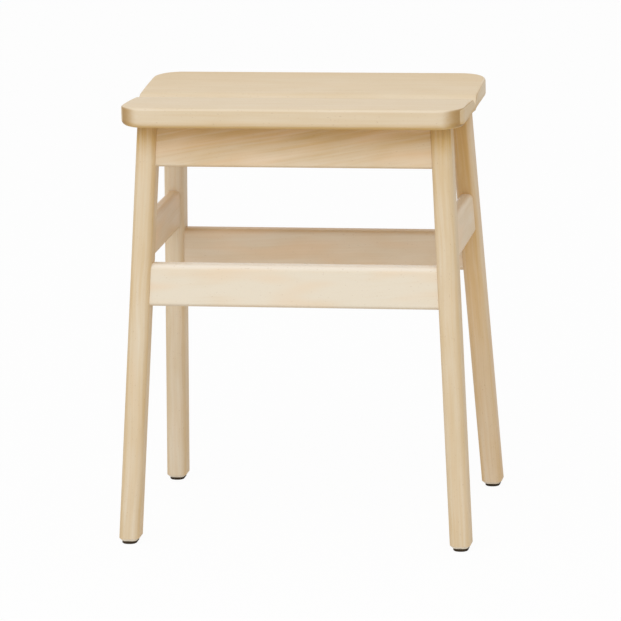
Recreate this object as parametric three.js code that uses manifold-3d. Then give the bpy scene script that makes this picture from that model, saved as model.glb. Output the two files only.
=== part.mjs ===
// Stacking stool in pale wood: a hollowed seat board on two leaning leg frames tied by side stretchers.
// Units are millimetres. +Z is up, the front faces -Y, and the origin is on the floor under the seat's middle.
import * as THREE from "three";
import { mergeVertices } from "three/addons/utils/BufferGeometryUtils.js";
import Module from "manifold-3d";

const wasm = await Module();
wasm.setup();

// Seat board
const seatTopHeight = 450;
const seatWidth = 353;
const seatDepth = 216.5;
const seatThickness = 21;
const seatCornerRadius = 29;
const seatTopEdgeRadius = 3;
const seatBottomEdgeRadius = 5.5;
const hollowDepth = 7;
const valleyDepth = 7.3;
const valleyHalfWidth = 14;
const hollowPower = 1.6;
const valleyPower = 1.4;

// Legs: the seat's overhangs place their tops, and the splay is how far their feet stand out from there
const seatEndOverhang = 15;
const seatSideOverhang = 25;
const legSplayX = 21.25;
const legSplayY = 58.5;
const legWidth = 21.5;
const legDepth = 30;
const legCornerRadius = 8;
const legEndChamfer = 3;
const legEndChamferHeight = 2.8;
const legTenonRadius = 6.5;
const legTenonLength = 11;
const legTenonChamfer = 1;

// Rails of the front and back frames
const railThickness = 20;
const apronHeight = 44;
const apronTopEdgeRadius = 1.5;
const apronBottomEdgeRadius = 3.5;
const stretcherHeight = 42.5;
const stretcherBottom = 243.2;
const stretcherTopEdgeRadius = 6.2;
const stretcherBottomEdgeRadius = 4.5;
const railTenonThickness = 9;
const railTenonLength = 13;
const railTenonShoulder = 6;
const tenonEdgeShare = 1 / 3;

// Side stretchers
const sideThickness = 14;
const sideEdgeRadius = 5;
const sideHeight = 42.5;
const sideRise = 0.8;
const sideTenonThickness = 7;
const sideTenonLength = 17;
const sideTenonShoulder = 6;

// Floor glides
const glideThickness = 3;
const glideCornerRadius = 7;
const glideEdgeRadius = 0.8;
const glidePinRadius = 2.2;
const glidePinLength = 12;

// Fit between neighbours, and how far one body reaches into another before the two are joined
const clearance = 0.3;
const overrun = 2;
const mergeDistance = 1e-5;

// Facets: steps in a quarter turn, and stations across the seat
const cornerSteps = 8;
const edgeSteps = 4;
const hollowStations = 13;
const valleyStations = 7;
const pinSides = 20;
const tenonSides = 28;

const undersideHeight = seatTopHeight - seatThickness;
const seatRimRun = seatDepth / 2 - seatCornerRadius;
const legFootX = seatWidth / 2 - seatEndOverhang - legWidth / 2 + legSplayX;
const legFootY = seatDepth / 2 - seatSideOverhang - legDepth / 2 + legSplayY;
const leanX = legSplayX / undersideHeight;
const leanY = legSplayY / undersideHeight;

const legAxisX = (z) => legFootX - leanX * z;
const legAxisY = (z) => legFootY - leanY * z;

// How far the seat's top lies below its rim at a distance from the middle line
function hollowAt(y) {
  const reach = Math.abs(y);
  const fall = Math.max(0, 1 - reach / (seatDepth / 2)) ** hollowPower;
  const notch = Math.max(0, 1 - reach / valleyHalfWidth) ** valleyPower;
  return hollowDepth * fall + valleyDepth * notch;
}

// Rounded rectangle, counterclockwise from the right end of its front edge, mirrored about x = 0
// so that point i and point n - 1 - i share their y; the radii are those of the corners at low and at
// high y, and stations add points along the straight sides
function roundedRing(halfX, halfY, [lowRadius, highRadius], steps, stations = []) {
  const right = [];
  for (let i = 0; i <= steps; i++) {
    const turn = (i / steps - 1) * (Math.PI / 2);
    right.push([halfX - lowRadius * (1 - Math.cos(turn)), lowRadius * (1 + Math.sin(turn)) - halfY]);
  }
  for (const y of stations) {
    right.push([halfX, y]);
  }
  for (let i = 0; i <= steps; i++) {
    const turn = (i / steps) * (Math.PI / 2);
    right.push([halfX - highRadius * (1 - Math.cos(turn)), halfY - highRadius * (1 - Math.sin(turn))]);
  }
  const left = right.map(([x, y]) => [-x, y]).reverse();
  return [...right, ...left];
}

function circleRing(radius, sides) {
  const ring = [];
  for (let i = 0; i < sides; i++) {
    const turn = ((i + 1 / 2) / sides - 1 / 4) * Math.PI * 2;
    ring.push([radius * Math.cos(turn), radius * Math.sin(turn)]);
  }
  return ring;
}

// Closed surface through rings of [x, y, z] points that climb from the first ring to the last
function loft(rings) {
  const count = rings[0].length;
  const positions = rings.flat(2);
  const indices = [];
  for (let level = 0; level + 1 < rings.length; level++) {
    for (let i = 0; i < count; i++) {
      const a = level * count + i;
      const b = level * count + ((i + 1) % count);
      indices.push(a, b, b + count, a, b + count, a + count);
    }
  }
  const top = (rings.length - 1) * count;
  for (let i = 0; i + 1 < count / 2; i++) {
    const across = count - 1 - i;
    indices.push(i, across, across - 1, i, across - 1, i + 1);
    indices.push(top + i, top + i + 1, top + across - 1, top + i, top + across - 1, top + across);
  }
  const geometry = new THREE.BufferGeometry();
  geometry.setAttribute("position", new THREE.Float32BufferAttribute(positions, 3));
  geometry.setIndex(indices);
  return geometry;
}

function toSolid(geometry) {
  const merged = mergeVertices(geometry, mergeDistance);
  const mesh = new wasm.Mesh({
    numProp: 3,
    vertProperties: new Float32Array(merged.attributes.position.array),
    triVerts: new Uint32Array(merged.index.array),
  });
  return new wasm.Manifold(mesh);
}

function toGeometry(solid) {
  const mesh = solid.getMesh();
  const geometry = new THREE.BufferGeometry();
  geometry.setAttribute("position", new THREE.BufferAttribute(new Float32Array(mesh.vertProperties), 3));
  geometry.setIndex(new THREE.BufferAttribute(new Uint32Array(mesh.triVerts), 1));
  geometry.computeVertexNormals();
  return geometry;
}

// Column along a leg's axis: sections are [ring, z] pairs, and the sides say which leg it belongs to
function legColumn(sections, sideX, sideY) {
  return toSolid(loft(sections.map(([ring, z]) => ring.map(([x, y]) => [
    x + sideX * legAxisX(z),
    y + sideY * legAxisY(z),
    z,
  ]))));
}

function legSection(grow) {
  const radius = legCornerRadius + grow;
  return roundedRing(legWidth / 2 + grow, legDepth / 2 + grow, [radius, radius], cornerSteps);
}

function legShaft(sideX, sideY) {
  const chamferTop = glideThickness + legEndChamferHeight;
  return legColumn([
    [legSection(-legEndChamfer), glideThickness],
    [legSection(0), chamferTop],
    [legSection(0), undersideHeight - clearance],
  ], sideX, sideY);
}

// The shaft's outline with the fitting clearance, which shapes the rails' shoulders
function legEnvelope(sideX, sideY) {
  const section = legSection(clearance);
  return legColumn([[section, 0], [section, seatTopHeight]], sideX, sideY);
}

// Round stub on a leg's top, or the socket for it where grow is the clearance
function legTenon(sideX, sideY, grow) {
  const end = undersideHeight + legTenonLength + grow;
  const round = circleRing(legTenonRadius + grow, tenonSides);
  const tip = circleRing(legTenonRadius + grow - legTenonChamfer, tenonSides);
  return legColumn([
    [round, undersideHeight - overrun],
    [round, end - legTenonChamfer],
    [tip, end],
  ], sideX, sideY);
}

// Bar with a rounded section between two legs. It runs along X, or along Y where alongY is set,
// leans with the legs, and its ends follow the slope of the legs' inner faces.
function leaningBar({ bottom, height, thickness, radii, side, alongY, past }) {
  const middle = bottom + height / 2;
  const section = roundedRing(thickness / 2, height / 2, radii, edgeSteps);
  const legHalf = (alongY ? legDepth : legWidth) / 2;
  const runAxis = alongY ? legAxisY : legAxisX;
  const crossAxis = alongY ? legAxisX : legAxisY;
  const ringAt = (end) => section.map(([across, up]) => {
    const z = middle + up;
    const along = end * (runAxis(z) - legHalf + past);
    const cross = side * crossAxis(z) + across;
    return alongY ? [cross, along, z] : [along, cross, z];
  });
  return toSolid(loft(alongY ? [ringAt(1), ringAt(-1)] : [ringAt(-1), ringAt(1)]));
}

const apronBottom = undersideHeight - apronHeight;
const sideBottom = stretcherBottom + stretcherHeight + sideRise;

const frameRail = {
  thickness: railThickness,
  tenonThickness: railTenonThickness,
  tenonLength: railTenonLength,
  shoulder: railTenonShoulder,
  alongY: false,
};
const apron = {
  ...frameRail,
  bottom: apronBottom,
  height: apronHeight - clearance,
  radii: [apronBottomEdgeRadius, apronTopEdgeRadius],
};
const stretcher = {
  ...frameRail,
  bottom: stretcherBottom,
  height: stretcherHeight,
  radii: [stretcherBottomEdgeRadius, stretcherTopEdgeRadius],
};
const sideStretcher = {
  bottom: sideBottom,
  height: sideHeight,
  thickness: sideThickness,
  radii: [sideEdgeRadius, sideEdgeRadius],
  tenonThickness: sideTenonThickness,
  tenonLength: sideTenonLength,
  shoulder: sideTenonShoulder,
  alongY: true,
};

// Tenons at both ends of a rail, or the mortises for them where grow is the clearance
function railTenons(rail, side, grow) {
  const thickness = rail.tenonThickness + 2 * grow;
  const radius = thickness * tenonEdgeShare;
  return leaningBar({
    bottom: rail.bottom + rail.shoulder - grow,
    height: rail.height - 2 * rail.shoulder + 2 * grow,
    thickness,
    radii: [radius, radius],
    side,
    alongY: rail.alongY,
    past: rail.tenonLength + grow,
  });
}

function railSolid(rail, side) {
  const legHalf = (rail.alongY ? legDepth : legWidth) / 2;
  let body = leaningBar({ ...rail, side, past: legHalf });
  for (const end of [-1, 1]) {
    body = body.subtract(rail.alongY ? legEnvelope(side, end) : legEnvelope(end, side));
  }
  return body.add(railTenons(rail, side, 0));
}

// Pin of a glide, or the bore for it where grow is the clearance
function glidePin(sideX, sideY, grow) {
  const ring = circleRing(glidePinRadius + grow, pinSides);
  const heights = [glideThickness / 2, glideThickness + glidePinLength + grow];
  return toSolid(loft(heights.map((z) => ring.map(([x, y]) => [
    x + sideX * legFootX,
    y + sideY * legFootY,
    z,
  ]))));
}

function legSolid(sideX, sideY) {
  let solid = legShaft(sideX, sideY);
  for (const rail of [apron, stretcher]) {
    solid = solid.subtract(railTenons(rail, sideY, clearance));
  }
  solid = solid.subtract(railTenons(sideStretcher, sideX, clearance));
  solid = solid.subtract(glidePin(sideX, sideY, clearance));
  return solid.add(legTenon(sideX, sideY, 0));
}

function glideSolid(sideX, sideY) {
  const halfX = legWidth / 2 - legEndChamfer;
  const halfY = legDepth / 2 - legEndChamfer;
  const ringAt = (inset) => {
    const radius = glideCornerRadius - inset;
    return roundedRing(halfX - inset, halfY - inset, [radius, radius], cornerSteps);
  };
  const sections = [
    [ringAt(glideEdgeRadius), 0],
    [ringAt(0), glideEdgeRadius],
    [ringAt(0), glideThickness - clearance],
  ];
  const pad = toSolid(loft(sections.map(([ring, z]) => ring.map(([x, y]) => [
    x + sideX * legFootX,
    y + sideY * legFootY,
    z,
  ]))));
  return pad.add(glidePin(sideX, sideY, 0));
}

// Places across the seat's depth where its top changes height: close together in the valley
function seatStations() {
  const half = [];
  for (let i = 0; i < valleyStations; i++) {
    half.push((i / valleyStations) * valleyHalfWidth);
  }
  for (let i = 0; i < hollowStations; i++) {
    half.push(valleyHalfWidth + (i / hollowStations) * (seatRimRun - valleyHalfWidth));
  }
  const front = half.slice(1).map((y) => -y).reverse();
  return [...front, ...half];
}

// Insets and heights of the seat's edge, from its underside up to its rim
function seatEdgeProfile() {
  const profile = [];
  for (let i = 0; i <= edgeSteps; i++) {
    const turn = (i / edgeSteps) * (Math.PI / 2);
    profile.push([
      seatBottomEdgeRadius * (1 - Math.sin(turn)),
      seatBottomEdgeRadius * (1 - Math.cos(turn)),
    ]);
  }
  for (let i = 0; i <= edgeSteps; i++) {
    const turn = (i / edgeSteps) * (Math.PI / 2);
    profile.push([
      seatTopEdgeRadius * (1 - Math.cos(turn)),
      seatThickness - seatTopEdgeRadius * (1 - Math.sin(turn)),
    ]);
  }
  return profile;
}

function seatSolid() {
  const stations = seatStations();
  const rings = seatEdgeProfile().map(([inset, height]) => roundedRing(
    seatWidth / 2 - inset,
    seatDepth / 2 - inset,
    [seatCornerRadius - inset, seatCornerRadius - inset],
    cornerSteps,
    stations,
  ).map(([x, y]) => [x, y, undersideHeight + height * (1 - hollowAt(y) / seatThickness)]));
  let solid = toSolid(loft(rings));
  for (const [sideX, sideY] of corners) {
    solid = solid.subtract(legTenon(sideX, sideY, clearance));
  }
  return solid;
}

const seatWood = new THREE.MeshStandardMaterial({ color: 0xdfcfb3, roughness: 0.5, metalness: 0 });
const legWood = new THREE.MeshStandardMaterial({ color: 0xdcc9a8, roughness: 0.5, metalness: 0 });
const railWood = new THREE.MeshStandardMaterial({ color: 0xe6dac8, roughness: 0.5, metalness: 0 });
const glideBlack = new THREE.MeshStandardMaterial({ color: 0x2b241c, roughness: 0.8, metalness: 0 });

// Mesh whose geometry is kept about its own place in the stool
function placedMesh(name, solid, material, place) {
  const geometry = toGeometry(solid.translate(place.map((value) => -value)));
  const mesh = new THREE.Mesh(geometry, material);
  mesh.name = name;
  mesh.position.set(...place);
  return mesh;
}

const sidesX = [["left", -1], ["right", 1]];
const sidesY = [["front", -1], ["back", 1]];
const corners = sidesY.flatMap(([, sideY]) => sidesX.map(([, sideX]) => [sideX, sideY]));

const stool = new THREE.Group();
stool.add(placedMesh("seat", seatSolid(), seatWood, [0, 0, undersideHeight]));

for (const [depthName, sideY] of sidesY) {
  const frame = new THREE.Group();
  for (const [sideName, sideX] of sidesX) {
    const foot = [sideX * legFootX, sideY * legFootY, 0];
    const corner = `${depthName}_${sideName}`;
    frame.add(placedMesh(`leg_${corner}`, legSolid(sideX, sideY), legWood, foot));
    frame.add(placedMesh(`glide_${corner}`, glideSolid(sideX, sideY), glideBlack, foot));
  }
  const apronPlace = [0, sideY * legAxisY(apronBottom), apronBottom];
  frame.add(placedMesh(`apron_${depthName}`, railSolid(apron, sideY), railWood, apronPlace));
  const stretcherPlace = [0, sideY * legAxisY(stretcherBottom), stretcherBottom];
  frame.add(placedMesh(`stretcher_${depthName}`, railSolid(stretcher, sideY), railWood, stretcherPlace));
  stool.add(frame);
}

for (const [sideName, sideX] of sidesX) {
  const place = [sideX * legAxisX(sideBottom), 0, sideBottom];
  stool.add(placedMesh(`stretcher_${sideName}`, railSolid(sideStretcher, sideX), railWood, place));
}

export default stool;
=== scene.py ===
"""Looks of a stacking stool in pale lacquered wood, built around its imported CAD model."""

import math
from collections import namedtuple

import bpy
import numpy as np
from bpy.props import FloatProperty, FloatVectorProperty, IntProperty, PointerProperty
from bpy.types import Operator, Panel, PropertyGroup
from mathutils import Matrix, Vector


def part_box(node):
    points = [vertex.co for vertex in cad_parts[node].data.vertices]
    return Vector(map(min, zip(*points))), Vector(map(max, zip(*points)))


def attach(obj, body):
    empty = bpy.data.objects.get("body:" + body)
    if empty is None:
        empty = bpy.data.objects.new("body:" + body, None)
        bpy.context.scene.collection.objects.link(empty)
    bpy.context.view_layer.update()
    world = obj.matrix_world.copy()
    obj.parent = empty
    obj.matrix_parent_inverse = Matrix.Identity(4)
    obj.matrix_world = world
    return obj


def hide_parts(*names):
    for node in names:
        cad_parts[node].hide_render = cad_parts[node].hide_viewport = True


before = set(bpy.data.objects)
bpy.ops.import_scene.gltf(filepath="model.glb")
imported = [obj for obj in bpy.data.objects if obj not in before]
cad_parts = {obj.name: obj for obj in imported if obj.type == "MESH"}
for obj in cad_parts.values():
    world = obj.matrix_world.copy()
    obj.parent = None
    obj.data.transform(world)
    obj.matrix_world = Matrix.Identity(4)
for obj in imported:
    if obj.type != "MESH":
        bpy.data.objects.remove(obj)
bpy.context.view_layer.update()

bl_info = {
    "name": "Stacking stool",
    "version": (1, 0, 0),
    "blender": (4, 5, 0),
    "location": "3D View > Sidebar > Stool",
    "description": "Builds a wooden stacking stool, its finishes and its studio",
    "category": "Object",
}

MM = 0.001
WHITE = (1, 1, 1, 1)
SIDES_X = (("left", -1), ("right", 1))
SIDES_Y = (("front", -1), ("back", 1))

LegLook = namedtuple("LegLook", "warmth head foot cheek rosy")
RailLook = namedtuple("RailLook", "warmth edge figure slope rosy")
Marking = namedtuple("Marking", "length width layers shift", defaults=[0])

# How warm each leg's wood is, from 0 for the palest to 1, how much warmer its head is,
# as painted shade under the seat, its foot, and its cheeks, as painted shade on its sides,
# and how rosy it is
LEG_LOOKS = {
    "front_left": LegLook(0.46, -0.04, 0, 0.17, 0),
    "front_right": LegLook(0.5, 0, 0, 0.1, 0),
    "back_left": LegLook(0.04, 0.32, 0.22, 0.36, 0.01),
    "back_right": LegLook(0.13, 0.91, 0.24, 0.36, 0.05),
}
LEG_FIGURE = 0.65
# A rail's warmth, how much warmer its upper edge is, as painted shade, or paler below 0, as a
# painted highlight, how bold its figure is, how steeply its fibres rise, and how rosy it is
RAIL_LOOKS = {
    "apron_front": RailLook(0.42, 0, 0.8, 0.17, 0.02),
    "apron_back": RailLook(0.47, 0, 0.8, 0.17, 0.02),
    "stretcher_front": RailLook(0.01, -1, 0.45, 0.02, 0),
    "stretcher_back": RailLook(0.2, 0.3, 0.5, 0.02, 0.05),
    "stretcher_left": RailLook(0.37, 0, 0.55, 0.03, 0.05),
    "stretcher_right": RailLook(0.42, -0.1, 0.55, 0.03, 0.04),
}
# The seat's warmth, how much warmer its back edge is, as painted shade,
# how much warmer the front of its ends is and paler their back, as painted shade and light,
# and how bold its figure is
SEAT_WARMTH = 0.38
SEAT_BACK_SHADE = 0.2
SEAT_END_SHADE_AND_LIGHT = 0.27
SEAT_FIGURE = 0.4
# Powers that keep this warmth close to a leg's head, to its foot and to the seat's back edge;
# at the head and at the back edge it is painted shade
HEAD_SHADE_POWER = 2
FOOT_POWER = 3
BACK_SHADE_POWER = 2

# How boldly streaks, clouds and rosy clouds show in each kind of piece
STREAKS = {"seat": 0.7, "leg": 0.85, "rail": 0.55}
CLOUDS = {"seat": 0.8, "leg": 0.95, "rail": 1.3}
BLUSHES = {"seat": 0.06, "leg": 0.1, "rail": 0.36}

# How long and how wide the wood's markings are, how many finer layers their noise has,
# and how many lengths further along a marking is drawn, so that it differs from the others
WANDER = Marking(140 * MM, 100 * MM, 1)
PATCH = Marking(125 * MM, 17 * MM, 2)
CLOUD = Marking(56 * MM, 20 * MM, 2, 5)
BLUSH = Marking(83 * MM, 20 * MM, 1, 9)
STREAK = Marking(100 * MM, 2.9 * MM, 3)
FIBRE = Marking(29 * MM, 0.6 * MM, 3)
SPOT = Marking(2.5 * MM, 0.8 * MM, 0)
NOISE_MEAN = 0.5
# The noise from where rosy clouds and flecks begin to where they are full
BLUSH_RANGE = (0.4, 0.75)
FLECK_RANGE = (0.76, 0.84)
# The share of patches in the clouds, and how much fibres and late wood warm the wood
PATCH_SHARE = 0.4
FIBRE_WARMTH = 0.1
LATE_WARMTH = 0.06
# The part of a growth ring over which its late wood builds up, the part before the ring's end
# over which it stops, and how much late wood leaves the warmth as it is
LATE_RISE = (0.25, 1)
LATE_STOP = (0, 0.2)
LATE_LEVEL = 0.35

# Parts of a surface, by how far its normal points down, up or sideways: from where a part begins
# to where it is full, or for a stop from where the part fades to where it is gone
# Painted shade on surfaces that face down
DOWNWARD_SHADE = (0.1, 0.8)
# The legs' cheeks, painted shade, and the seat's ends, painted shade in front and light behind
CHEEK_SHADE_AND_LIGHT = (0.3, 0.85)
# The upper edges of the rails, with painted highlight or shade, and their undersides, painted shade
CREST_LIGHT_AND_SHADE = (0.35, 0.9)
BELLY_SHADE = (0.05, 0.5)
# The seat's level top, with painted shade, its walls, the corners cut across its fibres,
# and its upper arris, with a painted highlight
LEVEL = (0.3, 0.6)
WALL_STOP = (0.5, 0.8)
SLANT = (0.25, 0.86)
SLANT_STOP = (0.87, 0.9)
ARRIS = (0.05, 0.4)
ARRIS_STOP = (0.9, 0.99)
# Over which shares of their reach the legs' feet turn paler downwards, as painted light,
# and the seat's arris upwards, as a painted highlight
FOOT_FADE = (0, 0.25)
ARRIS_FADE = (-1, -0.6)
# How much of their slant the seat's back corners lose, which paints light on them,
# and from the middle over which shares of the seat's depth
BACK_CORNER_PAINTED_LIGHT = 0.6
BACK_CORNER_LIGHT_FADE = (0, 0.3)
# How much these parts warm the wood, or make it paler below 0: painted shade facing down and on
# the level top, painted light on the feet and in the valley, a painted highlight on the arris,
# and the darker tone of corners cut across the fibres
DOWNWARD_SHADE_WARMTH = 0.2
FOOT_PAINTED_LIGHT = -0.6
SLANT_WARMTH = 0.3
LEVEL_SHADE_WARMTH = 0.065
VALLEY_PAINTED_LIGHT = -0.28
ARRIS_HIGHLIGHT = -0.2
# How strongly slants turn to the deep tint, bellies to it as painted shade, and flecks to theirs
SLANT_DEPTH = 0.55
BELLY_SHADE_DEPTH = 0.1
FLECK_DEPTH = 0.3
# How high fibres, streaks and flecks stand in the relief, and how strongly the relief shows
FIBRE_RELIEF = 0.5
STREAK_RELIEF = 0.3
FLECK_RELIEF = -0.4
WOOD_BUMP = 0.2
# How much rougher fibres and flecks are, and the lacquer's refraction and shine
FIBRE_ROUGHNESS = 0.1
FLECK_ROUGHNESS = 0.08
LACQUER_IOR = 1.45
LACQUER_SHINE = 0.2

# How far each kind of board is sawn from the middle of its log, across and through the board,
# and the length of log between one board and the next
LOG_PLACE = {"seat": (35 * MM, -360 * MM), "leg": (43 * MM, 20 * MM), "rail": (30 * MM, 50 * MM)}
LOG_STEP = 900 * MM

# Rows of points across half of the seat's valley, and from there to its corner
VALLEY_ROWS = 22
HOLLOW_ROWS = 34
# Edges sharper than this angle are rounded, with this many faces
SHARP_ANGLE = math.radians(50)
SHOULDER_FACES = 3
# A post has points at its foot, at the top of its chamfer and at its head
POST_STATIONS = 3

# The glides' pebbles and scuffs: how wide they are, and how many finer layers they have
PEBBLE = 0.45 * MM
PEBBLE_LAYERS = 2
SCUFF = 3.8 * MM
SCUFF_LAYERS = 3
# The noise from where scuffs begin to where they are full, how strong they are,
# and how many times lighter and how much rougher they make the glides
SCUFF_RANGE = (0.5, 0.75)
SCUFF_STRENGTH = 0.35
SCUFF_LIGHTNESS = 2
SCUFF_ROUGHNESS = 0.4
# The glides' own roughness and shine, and how strongly their pebbles show
GLIDE_ROUGHNESS = 0.6
GLIDE_SHINE = 0.25
GLIDE_BUMP = 0.3

# The camera of the photograph: the width of its frame and its focal length in pixels of that frame,
# its place and its axes
FRAME_PIXELS = 621
FOCAL_PIXELS = 4564.5
SENSOR_WIDTH = 36
CAMERA_PLACE = Vector((794.5, -4561.9, 1284.5)) * MM
CAMERA_RIGHT = Vector((0.98581284, 0.16614265, -0.02386758))
CAMERA_UP = Vector((-0.01439968, 0.22538645, 0.97416302))

seat_low, seat_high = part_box("seat")


def screen_colour(red, green, blue):
    """Linear colour of a tone given in screen values from 0 to 255."""
    shares = [value / 255 for value in (red, green, blue)]
    return tuple(s / 12.92 if s <= 0.04045 else ((s + 0.055) / 1.055) ** 2.4 for s in shares)


def number(name, description, default, **limits):
    """A property for a number, with its limits and its unit."""
    return FloatProperty(name=name, description=description, default=default, **limits)


def length(name, description, default):
    """A property for a length in metres."""
    return number(name, description, default, min=0, unit="LENGTH", precision=4)


def place(name, description, default):
    """A property for a point on the floor plan, in metres."""
    return FloatVectorProperty(
        name=name, description=description, default=default, size=2, unit="LENGTH"
    )


def angle(name, description, degrees):
    """A property for an angle, given in degrees."""
    return number(name, description, math.radians(degrees), subtype="ANGLE")


def tint(name, description, default):
    """A property for a linear colour."""
    return FloatVectorProperty(
        name=name, description=description, default=default, size=3, min=0, max=1, subtype="COLOR"
    )


# Properties


class SeatSizes(PropertyGroup):
    width: length("Width", "Seat from end to end", seat_high.x - seat_low.x)
    depth: length("Depth", "Seat from front to back", seat_high.y - seat_low.y)
    top: length("Top", "Height of the rim above the floor", 450 * MM)
    underside: length("Underside", "Height of the board's flat underside", seat_low.z)
    corner: length("Corner", "Plan radius of the four corners", 29 * MM)
    top_edge: length("Top edge", "Radius along the rim", 3 * MM)
    bottom_edge: length("Bottom edge", "Radius along the underside", 5.5 * MM)
    hollow_depth: length("Hollow", "Depth of the broad hollow at the middle line", 7 * MM)
    valley_depth: length("Valley", "Depth of the valley below the hollow", 7.3 * MM)
    valley_reach: length("Valley reach", "Half of the valley's width", 14 * MM)
    hollow_power: number("Hollow power", "How late the hollow falls", 1.6, min=1)
    valley_power: number("Valley power", "How late the valley falls", 1.4, min=1)


class LegSizes(PropertyGroup):
    width: length("Width", "Section across the stool", 21.5 * MM)
    depth: length("Depth", "Section from front to back", 30 * MM)
    corner: length("Corner", "Radius of the section's corners", 8 * MM)
    top: place("Top", "Axis at the seat's underside", (150.75 * MM, 68.25 * MM))
    foot: place("Foot", "Axis at the floor", (172 * MM, 126.75 * MM))
    chamfer_inset: length("Chamfer inset", "How far the foot's chamfer comes in", 3 * MM)
    chamfer_height: length("Chamfer height", "How far the foot's chamfer goes up", 2.8 * MM)
    glide_height: length("Glide", "Thickness of the glides", 3 * MM)
    glide_corner: length("Glide corner", "Plan radius of the glides", 7 * MM)
    glide_edge: length("Glide edge", "Edge rounding of the glides", 0.6 * MM)


class RailSizes(PropertyGroup):
    thickness: length("Frame rails", "Thickness of aprons, front and back stretchers", 20 * MM)
    side_thickness: length("Side rails", "Thickness of the side stretchers", 14 * MM)
    apron_top: length("Apron top", "Radius of the aprons' upper edges", 1.5 * MM)
    apron_bottom: length("Apron bottom", "Radius of the aprons' lower edges", 3.5 * MM)
    stretcher_top: length("Stretcher top", "Radius of the stretchers' upper edges", 6.2 * MM)
    stretcher_bottom: length("Stretcher bottom", "Radius of the stretchers' lower edges", 4.5 * MM)
    side_edge: length("Side edge", "Radius of the side stretchers' edges", 5 * MM)
    shoulder: length("Shoulder", "Rounding of the rails' ends at the legs", 0.2 * MM)
    housing: length("Housing", "How far the rails' ends sink into the rounded legs", 0.5 * MM)
    joint: length("Joint", "Seam left between neighbouring pieces", 0.1 * MM)


class WoodLook(PropertyGroup):
    pale: tint("Pale", "Palest wood, where warmth is 0", screen_colour(237, 225, 204))
    warm: tint("Warm", "Wood where warmth is 1", screen_colour(210, 174, 113))
    # Deep also tints painted shade: wood warmed past 1 and the rails' undersides
    deep: tint("Deep", "Wood warmed past 1, and cut across the fibres", screen_colour(150, 112, 66))
    blush: tint("Blush", "Rosy clouds in the wood", screen_colour(241, 206, 165))
    russet: tint("Russet", "What rosy boards lean towards", screen_colour(236, 152, 104))
    # A painted highlight along the rails' upper edges
    highlighted: tint("Highlight", "Upper edges highlit pale", screen_colour(250, 242, 228))
    fleck: tint("Fleck", "Short dark flecks along the grain", screen_colour(168, 128, 84))
    glide: tint("Glide", "Colour of the glides", screen_colour(56, 43, 27))
    ring_width: length("Ring width", "Mean width of a growth ring", 2.6 * MM)
    ring_sway: length("Ring sway", "How far the growth rings wander", 6 * MM)
    fibre_sway: length("Fibre sway", "How far the fibres wander from side to side", 12 * MM)
    roughness: number("Roughness", "Roughness of the lacquer", 0.42, min=0, max=1)
    # Painted shade right under the seat and on the rounding under its rim
    under_seat_shade_strength: number("Shelter", "Warmth gained right under the seat", 0.54, min=0)
    under_seat_shade_reach: length("Shelter reach", "How far down the seat shelters the wood", 38 * MM)
    rim_shade_reach: length("Rim reach", "How far up the seat's rounded lower edge is warmer", 7.5 * MM)
    # A painted highlight along the seat's upper edge
    arris_highlight_reach: length("Arris reach", "How far down the seat's rubbed upper edge is paler", 3 * MM)
    # Painted light on the legs' chamfered feet
    foot_light_reach: length("Foot reach", "How far up the legs' chamfered feet are paler", 6 * MM)
    relief_depth: length("Relief depth", "Depth of the open fibres", 0.06 * MM)


class StudioLook(PropertyGroup):
    floor_size: length("Floor", "Side of the floor", 30)
    floor_shade: number("Floor shade", "Lightness of the floor", 0.85, min=0, max=1)
    floor_glow: number("Floor glow", "Plain white in the floor", 0.95, min=0, max=1)
    ambient: number("Ambient", "Strength of the even light", 0.72, min=0)
    panel: number("Panel", "Power of the soft panel", 28.5, min=0, unit="POWER")
    panel_width: length("Panel width", "Width of the soft panel", 4)
    panel_height: length("Panel height", "Height of the soft panel", 1.8)
    panel_distance: length("Panel distance", "From the stool to the soft panel", 2.8)
    panel_side: angle("Panel side", "How far the panel stands to the left of the front", 8)
    panel_rise: angle("Panel rise", "How high the panel stands above the horizon", 47)
    aim_height: length("Aim", "Height of the point that the panel faces", 0.25)
    arc_steps: IntProperty(
        name="Arc steps", description="Faces in a quarter turn", default=14, min=2
    )


# Node building


# The numbers of a Mix node's two inputs and of its output for each kind of data
MIX_SOCKETS = {"VECTOR": (4, 5, 1), "RGBA": (6, 7, 2)}


class Value:
    """An output of a node. Python operators on it add the Math nodes that do the sum."""

    def __init__(self, nodes, socket):
        self.nodes = nodes
        self.socket = socket

    def sum(self, operation, *terms):
        return self.nodes.add("ShaderNodeMath", {"operation": operation}, dict(enumerate(terms)))

    def __add__(self, other):
        return self.sum("ADD", self, other)

    def __radd__(self, other):
        return self.sum("ADD", other, self)

    def __sub__(self, other):
        return self.sum("SUBTRACT", self, other)

    def __rsub__(self, other):
        return self.sum("SUBTRACT", other, self)

    def __mul__(self, other):
        return self.sum("MULTIPLY", self, other)

    def __rmul__(self, other):
        return self.sum("MULTIPLY", other, self)

    def __truediv__(self, other):
        return self.sum("DIVIDE", self, other)

    def __rtruediv__(self, other):
        return self.sum("DIVIDE", other, self)

    def __pow__(self, other):
        return self.sum("POWER", self, other)

    def __rpow__(self, other):
        return self.sum("POWER", other, self)

    def __abs__(self):
        return self.sum("ABSOLUTE", self)

    def at_least(self, other):
        return self.sum("MAXIMUM", self, other)

    def at_most(self, other):
        return self.sum("MINIMUM", self, other)

    def above(self, other):
        return self.sum("GREATER_THAN", self, other)

    def fraction(self):
        return self.sum("FRACT", self)


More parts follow.
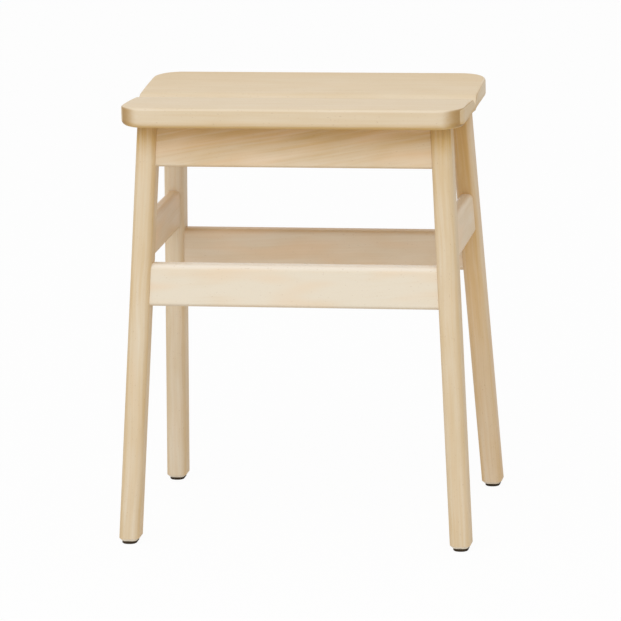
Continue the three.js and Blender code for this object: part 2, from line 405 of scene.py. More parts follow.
class Nodes:
    """A node tree and the one way in which nodes are added to it."""

    def __init__(self, tree):
        self.tree = tree

    def add(self, kind, settings=None, inputs=None, output=0):
        """Adds a node: its settings first, then its inputs.

        Returns the output named, a tuple of all those named, or the node if it has no outputs.
        """
        node = self.tree.nodes.new(kind)
        for name, value in (settings or {}).items():
            setattr(node, name, value)
        for name, value in (inputs or {}).items():
            if isinstance(value, Value):
                self.tree.links.new(value.socket, node.inputs[name])
            else:
                node.inputs[name].default_value = value
        if isinstance(output, tuple):
            return tuple(Value(self, node.outputs[name]) for name in output)
        return Value(self, node.outputs[output]) if node.outputs else node

    def vector(self, operation, *terms):
        return self.add("ShaderNodeVectorMath", {"operation": operation}, dict(enumerate(terms)))

    def length(self, vector):
        settings = {"operation": "LENGTH"}
        return self.add("ShaderNodeVectorMath", settings, {0: vector}, output="Value")

    def combine(self, x, y, z):
        return self.add("ShaderNodeCombineXYZ", inputs={"X": x, "Y": y, "Z": z})

    def split(self, vector):
        return self.add("ShaderNodeSeparateXYZ", inputs={"Vector": vector}, output=("X", "Y", "Z"))

    def mix(self, share, first, second, kind="RGBA"):
        """A colour, or a vector, between two others."""
        low, high, result = MIX_SOCKETS[kind]
        inputs = {"Factor": share, low: first, high: second}
        return self.add("ShaderNodeMix", {"data_type": kind}, inputs, output=result)

    def between(self, share, first, second):
        """A number between two others."""
        return first + (second - first) * share

    def noise(self, vector, scale, layers):
        """Noise of that many finer layers."""
        inputs = {"Vector": vector, "Scale": scale, "Detail": layers}
        return self.add("ShaderNodeTexNoise", inputs=inputs)

    def stored(self, name, output):
        """What store_grain keeps on the vertices under a name."""
        return self.add("ShaderNodeAttribute", {"attribute_name": name}, output=output)

    def smooth(self, value, low, high):
        """0 below low, 1 above high and an even curve between them."""
        settings = {"interpolation_type": "SMOOTHSTEP"}
        inputs = {"Value": value, "From Min": low, "From Max": high}
        return self.add("ShaderNodeMapRange", settings, inputs)


# Shape trees


FLOAT = "NodeSocketFloat"
VECTOR = "NodeSocketVector"
INTEGER = "NodeSocketInt"


def new_geometry_tree(name, sizes, with_geometry=False):
    """A Geometry Nodes tree with an input for each named size and for its material.

    Returns the tree's nodes and those inputs.
    """
    tree = bpy.data.node_groups.new(name, "GeometryNodeTree")
    tree.interface.new_socket("Geometry", in_out="OUTPUT", socket_type="NodeSocketGeometry")
    if with_geometry:
        tree.interface.new_socket("Geometry", in_out="INPUT", socket_type="NodeSocketGeometry")
    for size, kind in sizes.items():
        tree.interface.new_socket(size, in_out="INPUT", socket_type=kind)
    tree.interface.new_socket("Material", in_out="INPUT", socket_type="NodeSocketMaterial")
    nodes = Nodes(tree)
    entry = tree.nodes.new("NodeGroupInput")
    inputs = {socket.name: Value(nodes, socket) for socket in entry.outputs if socket.name}
    return nodes, inputs


def end_geometry_tree(nodes, geometry, material):
    """Ends a tree with Realize Instances and Set Material."""
    solid = nodes.add("GeometryNodeRealizeInstances", inputs={"Geometry": geometry})
    smooth = nodes.add("GeometryNodeSetShadeSmooth", inputs={"Geometry": solid})
    dressed = nodes.add("GeometryNodeSetMaterial", inputs={
        "Geometry": smooth,
        "Material": material,
    })
    nodes.add("NodeGroupOutput", inputs={"Geometry": dressed})


def make_post_tree():
    """Upright rounded bar that leans from a foot to a head, with a chamfer round its foot."""
    nodes, size = new_geometry_tree("Leaning post", {
        "Width": FLOAT,
        "Depth": FLOAT,
        "Corner": FLOAT,
        "Foot": VECTOR,
        "Head": VECTOR,
        "Chamfer Inset": FLOAT,
        "Chamfer Height": FLOAT,
        "Arc Steps": INTEGER,
    })
    outline = nodes.add("GeometryNodeCurvePrimitiveQuadrilateral", inputs={
        "Width": size["Width"],
        "Height": size["Depth"],
    })
    section = nodes.add("GeometryNodeFilletCurve", {"mode": "POLY"}, {
        "Curve": outline,
        "Count": size["Arc Steps"],
        "Radius": size["Corner"],
    })
    spine = nodes.add("GeometryNodeCurvePrimitiveLine", inputs={
        "Start": (0, 0, 0),
        "End": (0, 0, 1),
    })
    stations = nodes.add("GeometryNodeResampleCurve", inputs={
        "Curve": spine,
        "Count": POST_STATIONS,
    })
    index = nodes.add("GeometryNodeInputIndex")
    rise = nodes.split(nodes.vector("SUBTRACT", size["Head"], size["Foot"]))[2]
    chamfer_share = size["Chamfer Height"] / rise
    share = index.at_most(1) * chamfer_share + (index - 1).at_least(0) * (1 - chamfer_share)
    spaced = nodes.add("GeometryNodeSetPosition", inputs={
        "Geometry": stations,
        "Position": nodes.combine(0, 0, share),
    })
    bar = nodes.add("GeometryNodeCurveToMesh", inputs={
        "Curve": spaced,
        "Profile Curve": section,
        "Fill Caps": True,
    })
    place_x, place_y, height_share = nodes.split(nodes.add("GeometryNodeInputPosition"))
    inset = size["Chamfer Inset"] * (1 - (height_share / chamfer_share).at_most(1))
    corner = size["Corner"]

    def drawn_in(value, half):
        """A place on the section, moved in by the inset with its corners' centres kept."""
        core = (half - corner).at_least(0)
        centre = value.at_least(0 - core).at_most(core)
        return centre + (value - centre) * (1 - inset / corner)

    half_x = size["Width"] / 2
    half_y = size["Depth"] / 2
    axis = nodes.mix(height_share, size["Foot"], size["Head"], "VECTOR")
    local = nodes.combine(drawn_in(place_x, half_x), drawn_in(place_y, half_y), 0)
    leaning = nodes.add("GeometryNodeSetPosition", inputs={
        "Geometry": bar,
        "Position": nodes.vector("ADD", axis, local),
    })
    end_geometry_tree(nodes, leaning, size["Material"])
    return nodes.tree


def make_rail_tree():
    """Level bar between two leaning posts: its ends and its section follow their lean."""
    nodes, size = new_geometry_tree("Leaning rail", {
        "Bottom": FLOAT,
        "Top": FLOAT,
        "Thickness": FLOAT,
        "Top Edge": FLOAT,
        "Bottom Edge": FLOAT,
        "Reach At Bottom": FLOAT,
        "Reach At Top": FLOAT,
        "Offset At Bottom": FLOAT,
        "Offset At Top": FLOAT,
        "Turn": FLOAT,
        "Arc Steps": INTEGER,
    })
    height = size["Top"] - size["Bottom"]
    outline = nodes.add("GeometryNodeCurvePrimitiveQuadrilateral", inputs={
        "Width": size["Thickness"],
        "Height": height,
    })
    upper = nodes.split(nodes.add("GeometryNodeInputPosition"))[1].above(0)
    section = nodes.add("GeometryNodeFilletCurve", {"mode": "POLY"}, {
        "Curve": outline,
        "Count": size["Arc Steps"],
        "Radius": nodes.between(upper, size["Bottom Edge"], size["Top Edge"]),
    })
    spine = nodes.add("GeometryNodeCurvePrimitiveLine", inputs={
        "Start": (0, 0, -1),
        "End": (0, 0, 1),
    })
    bar = nodes.add("GeometryNodeCurveToMesh", inputs={
        "Curve": spine,
        "Profile Curve": section,
        "Fill Caps": True,
    })
    across, up, along = nodes.split(nodes.add("GeometryNodeInputPosition"))
    share = up / height + 0.5
    reach = nodes.between(share, size["Reach At Bottom"], size["Reach At Top"])
    offset = nodes.between(share, size["Offset At Bottom"], size["Offset At Top"])
    level = nodes.combine(along * reach, offset - across, size["Bottom"] + share * height)
    laid = nodes.add("GeometryNodeSetPosition", inputs={"Geometry": bar, "Position": level})
    turned = nodes.add("GeometryNodeTransform", inputs={
        "Geometry": laid,
        "Rotation": nodes.combine(0, 0, size["Turn"]),
    })
    end_geometry_tree(nodes, turned, size["Material"])
    return nodes.tree


def make_hollow_tree():
    """Lowers the top of a flat board to a broad hollow with a valley along its middle."""
    nodes, size = new_geometry_tree("Seat hollow", {
        "Underside": FLOAT,
        "Thickness": FLOAT,
        "Half Depth": FLOAT,
        "Hollow Depth": FLOAT,
        "Hollow Power": FLOAT,
        "Valley Depth": FLOAT,
        "Valley Reach": FLOAT,
        "Valley Power": FLOAT,
    }, with_geometry=True)
    x, y, z = nodes.split(nodes.add("GeometryNodeInputPosition"))
    hollow = (1 - abs(y) / size["Half Depth"]).at_least(0) ** size["Hollow Power"]
    valley = (1 - abs(y) / size["Valley Reach"]).at_least(0) ** size["Valley Power"]
    fall = size["Hollow Depth"] * hollow + size["Valley Depth"] * valley
    height = (z - size["Underside"]) * (1 - fall / size["Thickness"])
    carved = nodes.add("GeometryNodeSetPosition", inputs={
        "Geometry": size["Geometry"],
        "Position": nodes.combine(x, y, size["Underside"] + height),
    })
    end_geometry_tree(nodes, carved, size["Material"])
    return nodes.tree


# Pieces


def solidify(name, tree, values, start=None, edge=0):
    """Runs a Geometry Nodes tree into a new object with a plain mesh, its sharp edges rounded."""
    mesh = start or bpy.data.meshes.new(name)
    piece = bpy.data.objects.new(name, mesh)
    bpy.context.scene.collection.objects.link(piece)
    modifier = piece.modifiers.new("Shape", "NODES")
    modifier.node_group = tree
    sockets = [item for item in tree.interface.items_tree if item.in_out == "INPUT"]
    identifiers = {socket.name: socket.identifier for socket in sockets}
    for size, value in values.items():
        modifier[identifiers[size]] = value
    if edge:
        rounding = piece.modifiers.new("Edges", "BEVEL")
        rounding.limit_method = "ANGLE"
        rounding.angle_limit = SHARP_ANGLE
        rounding.width = edge
        rounding.segments = SHOULDER_FACES
    piece.modifiers.new("Even shading", "WEIGHTED_NORMAL").keep_sharp = True
    depsgraph = bpy.context.evaluated_depsgraph_get()
    result = bpy.data.meshes.new_from_object(piece.evaluated_get(depsgraph), depsgraph=depsgraph)
    piece.modifiers.clear()
    piece.data = result
    result.name = name
    bpy.data.meshes.remove(mesh)
    return piece


def mesh_points(mesh):
    """The places of a mesh's vertices, one in each row."""
    points = np.zeros(len(mesh.vertices) * 3, np.float32)
    mesh.vertices.foreach_get("co", points)
    return points.reshape(-1, 3)


def store_grain(piece, coordinates, warmth, figure, turned, rosy=0):
    """Keeps each vertex's place in its board and its tone.

    The tone is its warmth, how bold its figure is and how much warmer it is where its part of the
    surface is turned: painted shade on a leg's cheek, painted shade and light on the seat's ends,
    or a painted highlight or painted shade on a rail's upper edge.
    """
    mesh = piece.data
    grain = mesh.attributes.new("grain", "FLOAT_VECTOR", "POINT")
    grain.data.foreach_set("vector", np.ascontiguousarray(coordinates, np.float32).ravel())
    tone = mesh.attributes.new("tone", "FLOAT_VECTOR", "POINT")
    shades = np.zeros((len(mesh.vertices), 3), np.float32)
    shades[:] = np.column_stack(np.broadcast_arrays(warmth, figure, turned))
    tone.data.foreach_set("vector", shades.ravel())
    redness = mesh.attributes.new("rosy", "FLOAT", "POINT")
    redness.data.foreach_set("value", np.full(len(mesh.vertices), rosy, np.float32))


def finish_piece(piece, node):
    """Lets a piece stand for its CAD node and move with the stool."""
    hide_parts(node)
    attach(piece, "root")


# Finishes


def new_material(name):
    """An empty material and its nodes."""
    material = bpy.data.materials.new(name)
    material.use_nodes = True
    material.node_tree.nodes.clear()
    return material, Nodes(material.node_tree)


def draw_grain(nodes, look, kind):
    """A board's markings: how they warm it, its rosy clouds, streaks, fibres and flecks."""
    along, level, through = nodes.split(nodes.stored("grain", "Vector"))
    bend = nodes.combine(along / WANDER.length, 0, through / WANDER.width)
    wander = nodes.noise(bend, 1, WANDER.layers) - NOISE_MEAN
    across = level + wander * look.fibre_sway

    def noise(marking):
        """Noise with features as long and as wide as a marking."""
        spot = nodes.combine(
            along / marking.length + marking.shift,
            across / marking.width,
            through / marking.width,
        )
        return nodes.noise(spot, 1, marking.layers)

    patch = noise(PATCH) - NOISE_MEAN
    cloud = noise(CLOUD) - NOISE_MEAN
    blush = nodes.smooth(noise(BLUSH), *BLUSH_RANGE) * BLUSHES[kind]
    streak = noise(STREAK) - NOISE_MEAN
    fibre = noise(FIBRE) - NOISE_MEAN
    fleck = nodes.smooth(noise(SPOT), *FLECK_RANGE)
    radius = nodes.length(nodes.combine(0, across, through))
    ring = ((radius + patch * look.ring_sway) / look.ring_width).fraction()
    late = nodes.smooth(ring, *LATE_RISE) * nodes.smooth(1 - ring, *LATE_STOP) - LATE_LEVEL

    clouds = patch * PATCH_SHARE + cloud * (1 - PATCH_SHARE)
    drawn = streak * STREAKS[kind] + clouds * CLOUDS[kind]
    return drawn + fibre * FIBRE_WARMTH + late * LATE_WARMTH, blush, streak, fibre, fleck


def seat_parts(nodes, look, seat, place, normal):
    """Where the seat is cut across its fibres, its level top, its valley and its upper arris."""
    _, place_y, place_z = place
    side, _, up = normal
    wall = 1 - nodes.smooth(abs(up), *WALL_STOP)
    slant = wall * nodes.smooth(abs(side), *SLANT) * (1 - nodes.smooth(abs(side), *SLANT_STOP))
    # The back corners lose part of their darker tone: painted light
    slant = slant * (1 - BACK_CORNER_PAINTED_LIGHT * nodes.smooth(place_y / seat.depth, *BACK_CORNER_LIGHT_FADE))
    level = nodes.smooth(up, *LEVEL)
    valley = level * (1 - abs(place_y) / seat.valley_reach).at_least(0)
    # A painted highlight on the seat's upper arris
    arris = nodes.smooth(up, *ARRIS) * (1 - nodes.smooth(up, *ARRIS_STOP))
    arris = arris * nodes.smooth((place_z - seat.top) / look.arris_highlight_reach, *ARRIS_FADE)
    return slant, level, valley, arris


def wood_tone(nodes, look, seat, kind, drawn, streak):
    """How warm the wood is, and the tints of its parts, each with its strength."""
    warmth, figure, turned = nodes.split(nodes.stored("tone", "Vector"))
    coordinates = nodes.add("ShaderNodeTexCoord", output=("Object", "Normal"))
    place, normal = [nodes.split(vector) for vector in coordinates]
    side, _, up = normal

    # Painted shade: wood right under the seat is warmer, and so is the rounding under its rim
    rise = place[2] - seat.underside
    below = nodes.smooth(1 + rise / look.under_seat_shade_reach, 0, 1)
    under_seat_shade = below * (1 - rise / look.rim_shade_reach).at_least(0).at_most(1)
    tone = warmth + figure * drawn + under_seat_shade * look.under_seat_shade_strength * (1 + streak)
    # Painted shade on surfaces that face down
    tone = tone + DOWNWARD_SHADE_WARMTH * nodes.smooth(0 - up, *DOWNWARD_SHADE)

    if kind == "rail":
        # Painted highlight, or painted shade, along the rails' upper edges
        crest_light_and_shade = turned * nodes.smooth(up, *CREST_LIGHT_AND_SHADE)
        # Painted shade on the rails' undersides
        belly_shade = nodes.smooth(0 - up, *BELLY_SHADE) * BELLY_SHADE_DEPTH
        return tone + crest_light_and_shade, [((0 - crest_light_and_shade).at_least(0), look.highlighted), (belly_shade, look.deep)]
    # Painted shade on the legs' cheeks, and painted shade and light along the seat's ends
    tone = tone + turned * nodes.smooth(abs(side), *CHEEK_SHADE_AND_LIGHT)
    if kind == "leg":
        # Painted light on the chamfered feet
        foot = nodes.smooth((look.foot_light_reach - place[2]) / look.foot_light_reach, *FOOT_FADE)
        return tone + FOOT_PAINTED_LIGHT * foot, []
    slant, level, valley, arris = seat_parts(nodes, look, seat, place, normal)
    # Painted shade on the level top, painted light in the valley, painted highlight on the arris
    tone = tone + slant * SLANT_WARMTH + level * LEVEL_SHADE_WARMTH
    return tone + valley * VALLEY_PAINTED_LIGHT + arris * ARRIS_HIGHLIGHT, [(slant * SLANT_DEPTH, look.deep)]


def make_wood(name, look, seat, kind):
    """Pale close-grained wood under satin lacquer: growth rings, fibres and sparse dark flecks."""
    material, nodes = new_material(name)
    drawn, blush, streak, fibre, fleck = draw_grain(nodes, look, kind)
    tone, part_tints = wood_tone(nodes, look, seat, kind, drawn, streak)
    tints = [
        (blush, look.blush),
        ((tone - 1).at_least(0), look.deep),
        (nodes.stored("rosy", "Fac"), look.russet),
        *part_tints,
        (fleck * FLECK_DEPTH, look.fleck),
    ]
    colour = nodes.mix(tone.at_least(0).at_most(1), (*look.pale, 1), (*look.warm, 1))
    for strength, over in tints:
        colour = nodes.mix(strength, colour, (*over, 1))
    bump = nodes.add("ShaderNodeBump", inputs={
        "Strength": WOOD_BUMP,
        "Distance": look.relief_depth,
        "Height": fibre * FIBRE_RELIEF + streak * STREAK_RELIEF + fleck * FLECK_RELIEF,
    })
    surface = nodes.add("ShaderNodeBsdfPrincipled", inputs={
        "Base Color": colour,
        "Roughness": look.roughness + fibre * FIBRE_ROUGHNESS + fleck * FLECK_ROUGHNESS,
        "IOR": LACQUER_IOR,
        "Specular IOR Level": LACQUER_SHINE,
        "Normal": bump,
    })
    nodes.add("ShaderNodeOutputMaterial", inputs={"Surface": surface})
    return material


def make_glide_plastic(look):
    """Near-black moulded pad, faintly pebbled and scuffed where it slides."""
    material, nodes = new_material("Near-black glide")
    place = nodes.add("ShaderNodeTexCoord", output="Object")
    pebble = nodes.noise(place, 1 / PEBBLE, PEBBLE_LAYERS)
    scuff = nodes.noise(place, 1 / SCUFF, SCUFF_LAYERS)
    worn = nodes.smooth(scuff, *SCUFF_RANGE) * SCUFF_STRENGTH
    light = SCUFF_LIGHTNESS * Vector(look.glide)
    bump = nodes.add("ShaderNodeBump", inputs={
        "Strength": GLIDE_BUMP,
        "Distance": look.relief_depth,
        "Height": pebble,
    })
    surface = nodes.add("ShaderNodeBsdfPrincipled", inputs={
        "Base Color": nodes.mix(worn, (*look.glide, 1), (*light, 1)),
        "Roughness": GLIDE_ROUGHNESS + worn * SCUFF_ROUGHNESS,
        "Specular IOR Level": GLIDE_SHINE,
        "Normal": bump,
    })
    nodes.add("ShaderNodeOutputMaterial", inputs={"Surface": surface})
    return material


def wood_finish(kind):
    """The wood of the seat, the legs or the rails, made once."""
    scene = bpy.context.scene
    name = f"Lacquered {kind} wood"
    return bpy.data.materials.get(name) or make_wood(name, scene.stool_wood, scene.stool_seat, kind)


def tree_named(name, maker):
    """The shape tree of that name, made once."""
    return bpy.data.node_groups.get(name) or maker()


# Shapes


def corners():
    """Each corner's name, and its sides of the middle across the stool and from front to back."""
    for depth_name, side_y in SIDES_Y:
        for side_name, side_x in SIDES_X:
            yield f"{depth_name}_{side_name}", side_x, side_y


def leg_axis(legs, seat, height):
    """The legs' distances from the middle at a height or at many.

    The first is across the stool, and the second from front to back.
    """
    share = height / seat.underside
    return [foot + (top - foot) * share for foot, top in zip(legs.foot, legs.top)]


def quarter_turn(steps):
    """Cosine and sine at even steps over a quarter turn."""
    turns = [i / steps * math.pi / 2 for i in range(steps + 1)]
    return [(math.cos(turn), math.sin(turn)) for turn in turns]


def rounded_ring(half_x, half_y, radius, arc, stations):
    """Rounded rectangle, counterclockwise, with added points at the stations along its two ends."""
    corner = [(half_x - radius * (1 - cos), half_y - radius * (1 - sin)) for cos, sin in arc]
    right = [(x, -y) for x, y in reversed(corner)] + [(half_x, y) for y in stations] + corner
    return right + [(-x, y) for x, y in reversed(right)]


def ring_faces(rings, count):
    """Faces between rings of so many points, and strips that close the first and the last."""
    faces = []
    for level in range(rings - 1):
        for i in range(count):
            here = level * count + i
            beside = level * count + (i + 1) % count
            faces.append((here, beside, beside + count, here + count))
    last = (rings - 1) * count
    for i in range(count // 2 - 1):
        faces.append((i, count - 1 - i, count - 2 - i, i + 1))
        faces.append((last + i, last + i + 1, last + count - 2 - i, last + count - 1 - i))
    return faces


def seat_blank(seat, steps):
    """The flat board before its top is hollowed, with close rows of points for the valley."""
    thickness = seat.top - seat.underside
    rest = seat.depth / 2 - seat.corner - seat.valley_reach
    half = [seat.valley_reach * i / VALLEY_ROWS for i in range(VALLEY_ROWS)]
    half += [seat.valley_reach + rest * i / HOLLOW_ROWS for i in range(HOLLOW_ROWS)]
    stations = [-y for y in reversed(half[1:])] + half
    arc = quarter_turn(steps)
    profile = [(seat.bottom_edge * (1 - sin), seat.bottom_edge * (1 - cos)) for cos, sin in arc]
    profile += [
        (seat.top_edge * (1 - cos), thickness - seat.top_edge * (1 - sin)) for cos, sin in arc
    ]
    points = []
    for inset, height in profile:
        half_x = seat.width / 2 - inset
        half_y = seat.depth / 2 - inset
        ring = rounded_ring(half_x, half_y, seat.corner - inset, arc, stations)
        points += [(x, y, seat.underside + height) for x, y in ring]
    mesh = bpy.data.meshes.new("seat blank")
    mesh.from_pydata(points, [], ring_faces(len(profile), len(points) // len(profile)))
    return mesh


# Operators


class STOOL_OT_seat(Operator):
    """Make the hollowed seat board"""

    bl_idname = "stool.seat"
    bl_label = "Seat"

    def execute(self, context):
        seat = context.scene.stool_seat
        steps = context.scene.stool_studio.arc_steps
        piece = solidify("seat_board", tree_named("Seat hollow", make_hollow_tree), {
            "Underside": seat.underside,
            "Thickness": seat.top - seat.underside,
            "Half Depth": seat.depth / 2,
            "Hollow Depth": seat.hollow_depth,
            "Hollow Power": seat.hollow_power,
            "Valley Depth": seat.valley_depth,
            "Valley Reach": seat.valley_reach,
            "Valley Power": seat.valley_power,
            "Material": wood_finish("seat"),
        }, start=seat_blank(seat, steps))
        points = mesh_points(piece.data)
        log_across, log_through = LOG_PLACE["seat"]
        board = points + (0, log_across, log_through)
        rearward = np.clip(points[:, 1] / (seat.depth / 2), 0, 1)
        # Warmer towards the back edge: painted shade
        warmth = SEAT_WARMTH + SEAT_BACK_SHADE * rearward**BACK_SHADE_POWER
        # The ends are as much paler at the back as they are warmer at the front:
        # painted light at the back and painted shade at the front
        end = SEAT_END_SHADE_AND_LIGHT * (1 - 2 * rearward)
        store_grain(piece, board, warmth, SEAT_FIGURE, end)
        finish_piece(piece, "seat")
        return {"FINISHED"}


class STOOL_OT_legs(Operator):
    """Make the four leaning legs"""

    bl_idname = "stool.legs"
    bl_label = "Legs"

    def execute(self, context):
        seat = context.scene.stool_seat
        legs = context.scene.stool_legs
        rails = context.scene.stool_rails
        tree = tree_named("Leaning post", make_post_tree)
        log_across, log_through = LOG_PLACE["leg"]
        bottom = legs.glide_height
        top = seat.underside - rails.joint
        low = leg_axis(legs, seat, bottom)
        high = leg_axis(legs, seat, top)
        for corner, side_x, side_y in corners():
            piece = solidify(f"leg_post_{corner}", tree, {
                "Width": legs.width,
                "Depth": legs.depth,
                "Corner": legs.corner,
                "Foot": (side_x * low[0], side_y * low[1], bottom),
                "Head": (side_x * high[0], side_y * high[1], top),
                "Chamfer Inset": legs.chamfer_inset,
                "Chamfer Height": legs.chamfer_height,
                "Arc Steps": context.scene.stool_studio.arc_steps,
                "Material": wood_finish("leg"),
            })
            points = mesh_points(piece.data)
            axis_x, axis_y = leg_axis(legs, seat, points[:, 2])
            # Each leg has a length of log of its own
            board = np.column_stack([
                points[:, 2] + LOG_STEP * (side_x + 2 * side_y),
                points[:, 0] - side_x * axis_x + log_across,
                points[:, 1] - side_y * axis_y + log_through,
            ])
            look = LEG_LOOKS[corner]
            share = points[:, 2] / seat.underside
            # The head's extra warmth is painted shade under the seat
            head = look.head * share**HEAD_SHADE_POWER
            warmth = look.warmth + head + look.foot * (1 - share) ** FOOT_POWER
            # The head's painted shade is left out on the cheeks, which have painted shade of their
            # own
            store_grain(piece, board, warmth, LEG_FIGURE, look.cheek - head, look.rosy)
            finish_piece(piece, f"leg_{corner}")
        return {"FINISHED"}


class STOOL_OT_rails(Operator):
    """Make the aprons and the stretchers"""

    bl_idname = "stool.rails"
    bl_label = "Aprons and stretchers"

    def execute(self, context):
        rails = context.scene.stool_rails
        apron_edges = (rails.apron_top, rails.apron_bottom)
        stretcher_edges = (rails.stretcher_top, rails.stretcher_bottom)
        side_edges = (rails.side_edge, rails.side_edge)
        for depth_name, side in SIDES_Y:
            self.make(context, f"apron_{depth_name}", side, False, apron_edges)
            self.make(context, f"stretcher_{depth_name}", side, False, stretcher_edges)
        for side_name, side in SIDES_X:
            self.make(context, f"stretcher_{side_name}", side, True, side_edges)
        return {"FINISHED"}

    def make(self, context, node, side, along_y, edges):
        """Makes the rail of a node on one side, with the radii of its upper and lower edges."""
        seat = context.scene.stool_seat
        legs = context.scene.stool_legs
        rails = context.scene.stool_rails
        low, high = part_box(node)
        top = min(high.z, seat.underside - rails.joint)
        run, cross = (1, 0) if along_y else (0, 1)
        leg_half = (legs.depth if along_y else legs.width) / 2 - rails.housing
        at_bottom = leg_axis(legs, seat, low.z)
        at_top = leg_axis(legs, seat, top)
        turned_side = -side if along_y else side
        piece = solidify(f"{node}_rail", tree_named("Leaning rail", make_rail_tree), {
            "Bottom": low.z,
            "Top": top,
            "Thickness": rails.side_thickness if along_y else rails.thickness,
            "Top Edge": edges[0],
            "Bottom Edge": edges[1],
            "Reach At Bottom": at_bottom[run] - leg_half,
            "Reach At Top": at_top[run] - leg_half,
            "Offset At Bottom": turned_side * at_bottom[cross],
            "Offset At Top": turned_side * at_top[cross],
            "Turn": math.pi / 2 if along_y else 0.0,
            "Arc Steps": context.scene.stool_studio.arc_steps,
            "Material": wood_finish("rail"),
        }, edge=rails.shoulder)
        points = mesh_points(piece.data)
        centre = side * leg_axis(legs, seat, points[:, 2])[cross]
        look = RAIL_LOOKS[node]
        log_across, log_through = LOG_PLACE["rail"]
        board = np.column_stack([
            points[:, run] + LOG_STEP * list(RAIL_LOOKS).index(node),
            points[:, 2] - low.z - look.slope * points[:, run] + log_across,
            points[:, cross] - centre + log_through,
        ])
        # The upper edge's tone is a painted highlight, or painted shade
        store_grain(piece, board, look.warmth, look.figure, look.edge, look.rosy)
        finish_piece(piece, node)


class STOOL_OT_glides(Operator):
    """Make the four floor glides"""

    bl_idname = "stool.glides"
    bl_label = "Glides"

    def execute(self, context):
        legs = context.scene.stool_legs
        rails = context.scene.stool_rails
        tree = tree_named("Leaning post", make_post_tree)
        finish = make_glide_plastic(context.scene.stool_wood)
        for corner, side_x, side_y in corners():
            foot_x = side_x * legs.foot[0]
            foot_y = side_y * legs.foot[1]
            piece = solidify(f"glide_pad_{corner}", tree, {
                "Width": legs.width - 2 * legs.chamfer_inset,
                "Depth": legs.depth - 2 * legs.chamfer_inset,
                "Corner": legs.glide_corner,
                "Foot": (foot_x, foot_y, 0),
                "Head": (foot_x, foot_y, legs.glide_height - rails.joint),
                "Chamfer Inset": legs.glide_edge,
                "Chamfer Height": legs.glide_edge,
                "Arc Steps": context.scene.stool_studio.arc_steps,
                "Material": finish,
            })
            finish_piece(piece, f"glide_{corner}")
        return {"FINISHED"}


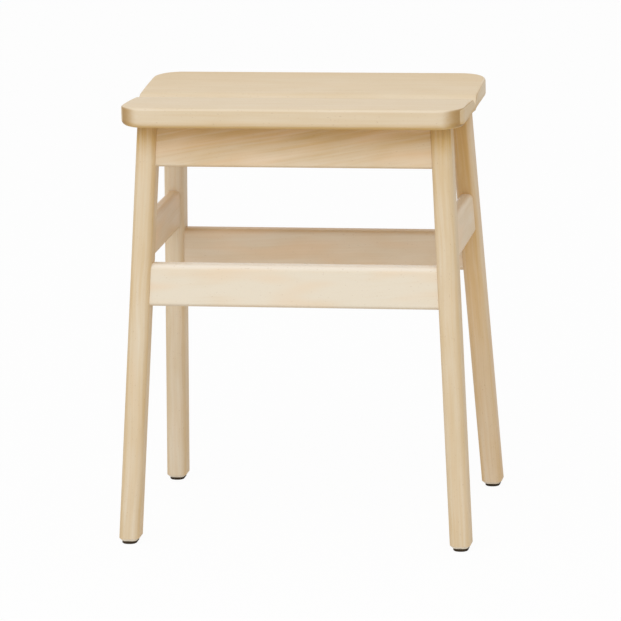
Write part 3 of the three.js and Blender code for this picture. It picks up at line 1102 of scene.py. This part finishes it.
class STOOL_OT_studio(Operator):
    """Make the floor, the lamps, the surroundings and the camera"""

    bl_idname = "stool.studio"
    bl_label = "Studio"

    def execute(self, context):
        look = context.scene.stool_studio
        self.make_floor(look)
        self.make_world(context.scene, look)
        self.make_panel(look)
        self.make_camera(context.scene)
        context.scene.view_settings.view_transform = "Standard"
        return {"FINISHED"}

    def make_floor(self, look):
        half = look.floor_size / 2
        mesh = bpy.data.meshes.new("floor")
        points = [(-half, -half, 0), (half, -half, 0), (half, half, 0), (-half, half, 0)]
        mesh.from_pydata(points, [], [(0, 1, 2, 3)])
        floor = bpy.data.objects.new("floor", mesh)
        bpy.context.scene.collection.objects.link(floor)
        material, nodes = new_material("White sweep")
        seen = nodes.add("ShaderNodeLightPath", output="Is Camera Ray")
        cover = nodes.add("ShaderNodeBsdfDiffuse", inputs={"Color": (*[look.floor_shade] * 3, 1)})
        glow = nodes.add("ShaderNodeEmission", inputs={"Color": WHITE, "Strength": 1})
        share = seen * look.floor_glow
        surface = nodes.add("ShaderNodeMixShader", inputs={0: share, 1: cover, 2: glow})
        nodes.add("ShaderNodeOutputMaterial", inputs={"Surface": surface})
        mesh.materials.append(material)

    def make_world(self, scene, look):
        world = bpy.data.worlds.new("White surroundings")
        world.use_nodes = True
        world.node_tree.nodes.clear()
        nodes = Nodes(world.node_tree)
        seen, mirrored = nodes.add("ShaderNodeLightPath", output=("Is Camera Ray", "Is Glossy Ray"))
        strength = nodes.between(seen.at_least(mirrored), look.ambient, 1)
        light = nodes.add("ShaderNodeBackground", inputs={"Color": WHITE, "Strength": strength})
        nodes.add("ShaderNodeOutputWorld", inputs={"Surface": light})
        scene.world = world

    def make_panel(self, look):
        """A wide soft panel high in front of the stool and a little to its left."""
        light = bpy.data.lights.new("Soft panel", "AREA")
        light.shape = "RECTANGLE"
        light.size = look.panel_width
        light.size_y = look.panel_height
        light.energy = look.panel
        lamp = bpy.data.objects.new("Soft panel", light)
        reach = look.panel_distance
        turn = Matrix.Rotation(-look.panel_side, 3, "Z") @ Matrix.Rotation(-look.panel_rise, 3, "X")
        lamp.location = turn @ Vector((0, -reach, 0)) + Vector((0, 0, look.aim_height))
        lamp.rotation_euler = (turn @ Vector((0, 1, 0))).to_track_quat("-Z", "Y").to_euler()
        bpy.context.scene.collection.objects.link(lamp)

    def make_camera(self, scene):
        camera = bpy.data.cameras.new("Camera")
        camera.sensor_width = SENSOR_WIDTH
        camera.lens = SENSOR_WIDTH * FOCAL_PIXELS / FRAME_PIXELS
        camera.clip_end = 2 * CAMERA_PLACE.length + scene.stool_studio.floor_size
        viewer = bpy.data.objects.new("Camera", camera)
        turn = Matrix((CAMERA_RIGHT, CAMERA_UP, CAMERA_RIGHT.cross(CAMERA_UP))).transposed()
        viewer.matrix_world = Matrix.Translation(CAMERA_PLACE) @ turn.to_4x4()
        scene.collection.objects.link(viewer)
        scene.camera = viewer


class STOOL_PT_builder(Panel):
    """The stool's sizes, finishes and building steps"""

    bl_label = "Stacking stool"
    bl_idname = "STOOL_PT_builder"
    bl_space_type = "VIEW_3D"
    bl_region_type = "UI"
    bl_category = "Stool"

    def draw(self, context):
        for name, group in PROPERTY_GROUPS.items():
            box = self.layout.box()
            box.label(text=group.__name__)
            settings = getattr(context.scene, name)
            for key in group.__annotations__:
                box.prop(settings, key)
        for step in STEPS:
            self.layout.operator(step.bl_idname)


PROPERTY_GROUPS = {
    "stool_seat": SeatSizes,
    "stool_legs": LegSizes,
    "stool_rails": RailSizes,
    "stool_wood": WoodLook,
    "stool_studio": StudioLook,
}
STEPS = (STOOL_OT_studio, STOOL_OT_seat, STOOL_OT_legs, STOOL_OT_rails, STOOL_OT_glides)


def register():
    for group in PROPERTY_GROUPS.values():
        bpy.utils.register_class(group)
    for name, group in PROPERTY_GROUPS.items():
        setattr(bpy.types.Scene, name, PointerProperty(type=group))
    for kind in (*STEPS, STOOL_PT_builder):
        bpy.utils.register_class(kind)


def unregister():
    for kind in (STOOL_PT_builder, *STEPS):
        bpy.utils.unregister_class(kind)
    for name, group in PROPERTY_GROUPS.items():
        delattr(bpy.types.Scene, name)
        bpy.utils.unregister_class(group)


def main():
    register()
    bpy.ops.stool.studio()
    bpy.ops.stool.seat()
    bpy.ops.stool.legs()
    bpy.ops.stool.rails()
    bpy.ops.stool.glides()


if __name__ == "__main__":
    main()
